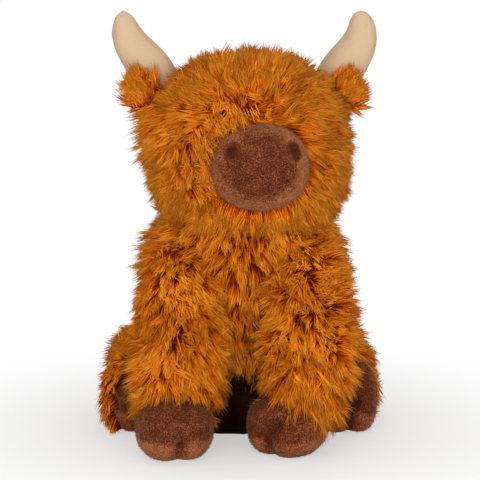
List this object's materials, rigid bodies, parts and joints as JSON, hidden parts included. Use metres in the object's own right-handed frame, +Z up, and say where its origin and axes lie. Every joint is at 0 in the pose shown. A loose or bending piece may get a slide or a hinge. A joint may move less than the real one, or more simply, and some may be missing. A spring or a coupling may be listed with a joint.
{
  "type": "plush cow",
  "caption": "Seated stuffed toy cow with long ginger fur, curved horns, a broad muzzle, cloven hooves, a turning and nodding head and jointed ears, legs and tail.",
  "frame": {"origin": "middle of the footprint, on the surface the toy sits on", "axes": "+Z up, -Y the way the toy faces, +X to the viewer's right when the toy is seen from the front; left and right in names are the viewer's"},
  "size_m": [0.188, 0.2142, 0.289],
  "materials": {
    "ginger_fur": "long tufted pile",
    "brown_plush": "short dense pile with a sheen",
    "nostril_plush": "short pile",
    "cream_plush": "short dense pile",
    "dark_cloth": "plain brushed cloth",
    "fibre_filling": "loose polyester fibre",
    "pouch_cloth": "plain weave"
  },
  "bodies": {
    "torso": {"torso_cover": "ginger_fur", "torso_filling": "fibre_filling", "pellet_pouch": "pouch_cloth", "base_panel": "dark_cloth", "underbelly_panel": "dark_cloth"},
    "neck": {"neck_filling": "fibre_filling"},
    "head": {"head_cover": "ginger_fur", "head_filling": "fibre_filling", "muzzle_cover": "brown_plush", "muzzle_filling": "fibre_filling", "nostril_left": "nostril_plush", "nostril_right": "nostril_plush", "horn_cover_left": "cream_plush", "horn_cover_right": "cream_plush", "horn_filling_left": "fibre_filling", "horn_filling_right": "fibre_filling"},
    "ear_left": {"ear_left": "ginger_fur"},
    "ear_right": {"ear_right": "ginger_fur"},
    "front_leg_left": {"front_leg_cover_left": "ginger_fur", "front_leg_filling_left": "fibre_filling", "front_leg_hoof_cover_left": "brown_plush", "front_leg_hoof_filling_left": "fibre_filling"},
    "front_leg_right": {"front_leg_cover_right": "ginger_fur", "front_leg_filling_right": "fibre_filling", "front_leg_hoof_cover_right": "brown_plush", "front_leg_hoof_filling_right": "fibre_filling"},
    "hind_leg_left": {"hind_leg_cover_left": "ginger_fur", "hind_leg_filling_left": "fibre_filling", "hind_leg_hoof_cover_left": "brown_plush", "hind_leg_hoof_filling_left": "fibre_filling"},
    "hind_leg_right": {"hind_leg_cover_right": "ginger_fur", "hind_leg_filling_right": "fibre_filling", "hind_leg_hoof_cover_right": "brown_plush", "hind_leg_hoof_filling_right": "fibre_filling"},
    "tail": {"tail": "ginger_fur", "tail_tuft": "ginger_fur"}
  },
  "joints": [
    {"name": "head_turn", "type": "hinge", "parent": "torso", "child": "neck", "pos_m": [0.00002, -0.01292, 0.151], "axis": [0, 0, 1], "range_deg": [-15, 15], "stiffness_Nm_per_rad": 0.8},
    {"name": "head_nod", "type": "hinge", "parent": "neck", "child": "head", "pos_m": [0.00002, -0.01292, 0.151], "axis": [0.9945, 0.1045, 0], "range_deg": [-10, 8], "stiffness_Nm_per_rad": 1.2},
    {"name": "ear_left_flap", "type": "hinge", "parent": "head", "child": "ear_left", "pos_m": [-0.05802, -0.02354, 0.22721], "axis": [0.1045, -0.9945, 0], "range_deg": [0, 20], "stiffness_Nm_per_rad": 0.05},
    {"name": "ear_right_flap", "type": "hinge", "parent": "head", "child": "ear_right", "pos_m": [0.06099, -0.01104, 0.22721], "axis": [-0.1045, 0.9945, 0], "range_deg": [0, 20], "stiffness_Nm_per_rad": 0.05},
    {"name": "front_leg_left_lift", "type": "hinge", "parent": "torso", "child": "front_leg_left", "pos_m": [-0.04198, -0.01592, 0.115], "axis": [-1, 0, 0], "range_deg": [0, 35], "stiffness_Nm_per_rad": 0.8},
    {"name": "front_leg_right_lift", "type": "hinge", "parent": "torso", "child": "front_leg_right", "pos_m": [0.04202, -0.01592, 0.115], "axis": [-1, 0, 0], "range_deg": [0, 35], "stiffness_Nm_per_rad": 0.8},
    {"name": "hind_leg_left_splay", "type": "hinge", "parent": "torso", "child": "hind_leg_left", "pos_m": [-0.04198, 0.05908, 0.026], "axis": [0, 0, -1], "range_deg": [0, 22], "stiffness_Nm_per_rad": 0.8},
    {"name": "hind_leg_right_splay", "type": "hinge", "parent": "torso", "child": "hind_leg_right", "pos_m": [0.04202, 0.05908, 0.026], "axis": [0, 0, 1], "range_deg": [0, 22], "stiffness_Nm_per_rad": 0.8},
    {"name": "tail_swing", "type": "hinge", "parent": "torso", "child": "tail", "pos_m": [0.00002, 0.08108, 0.066], "axis": [0, 1, 0], "range_deg": [-30, 30]}
  ]
}
